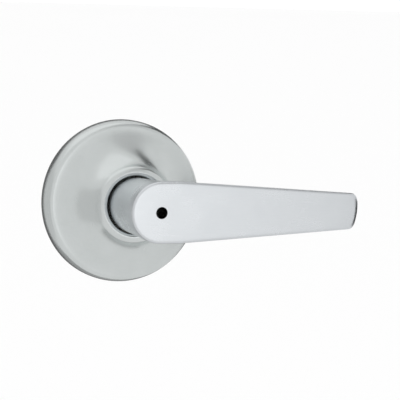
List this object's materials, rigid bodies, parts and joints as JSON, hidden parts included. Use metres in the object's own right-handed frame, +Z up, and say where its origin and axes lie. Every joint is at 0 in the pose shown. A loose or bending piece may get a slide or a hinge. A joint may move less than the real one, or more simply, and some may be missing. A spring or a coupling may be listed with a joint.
{
  "type": "door lever handle",
  "caption": "Outside half of a tubular privacy lever set: bell rose, flat tapered lever that turns against a return spring, release pin and lever catch.",
  "frame": {"origin": "on the spindle's axis, in the plane of the door's face", "axes": "+X towards the lever's tip at rest, +Y into the door along the spindle, +Z up"},
  "size_m": [0.1175, 0.0865, 0.0666],
  "materials": {
    "satin_chrome": "satin chrome plate over brushed and blasted metal",
    "zinc_casting": "bare zinc casting, dull grey",
    "plated_steel": "zinc-plated pressed steel",
    "spring_steel": "oiled spring steel",
    "white_nylon": "moulded natural nylon",
    "black_nylon": "moulded black nylon"
  },
  "bodies": {
    "rose": {"rose_cover": "satin_chrome", "rose_liner": "zinc_casting", "threaded_post_left": "plated_steel", "threaded_post_right": "plated_steel", "spring_cage": "plated_steel", "cage_cap": "plated_steel", "cage_screw_1": "plated_steel", "cage_screw_2": "plated_steel", "cage_screw_3": "plated_steel", "front_bush": "white_nylon", "rear_bush": "white_nylon", "return_spring": "spring_steel"},
    "lever": {"lever_handle": "satin_chrome", "drive_sleeve": "plated_steel", "spring_driver": "plated_steel", "wave_washer": "spring_steel", "retaining_ring": "spring_steel", "spindle": "plated_steel", "push_washer": "spring_steel", "tool_guide": "black_nylon", "release_spring": "spring_steel", "catch_spring": "spring_steel"},
    "release": {"release_pin": "plated_steel", "release_clip": "spring_steel"},
    "catch": {"lever_catch": "plated_steel"}
  },
  "joints": [
    {"name": "lever_turn", "type": "hinge", "parent": "rose", "child": "lever", "pos_m": [0, 0, 0], "axis": [0, 1, 0], "range_deg": [-50, 50], "stiffness_Nm_per_rad": 2, "deforming": ["return_spring"]},
    {"name": "release_push", "type": "slide", "parent": "lever", "child": "release", "axis": [0, 1, 0], "range_m": [0, 0.0045], "stiffness_N_per_m": 450, "springref_m": -0.004, "deforming": ["release_spring"]},
    {"name": "catch_press", "type": "slide", "parent": "lever", "child": "catch", "axis": [0, 0, 1], "range_m": [0, 0.0017], "stiffness_N_per_m": 1200, "springref_m": -0.001, "deforming": ["catch_spring"]}
  ]
}
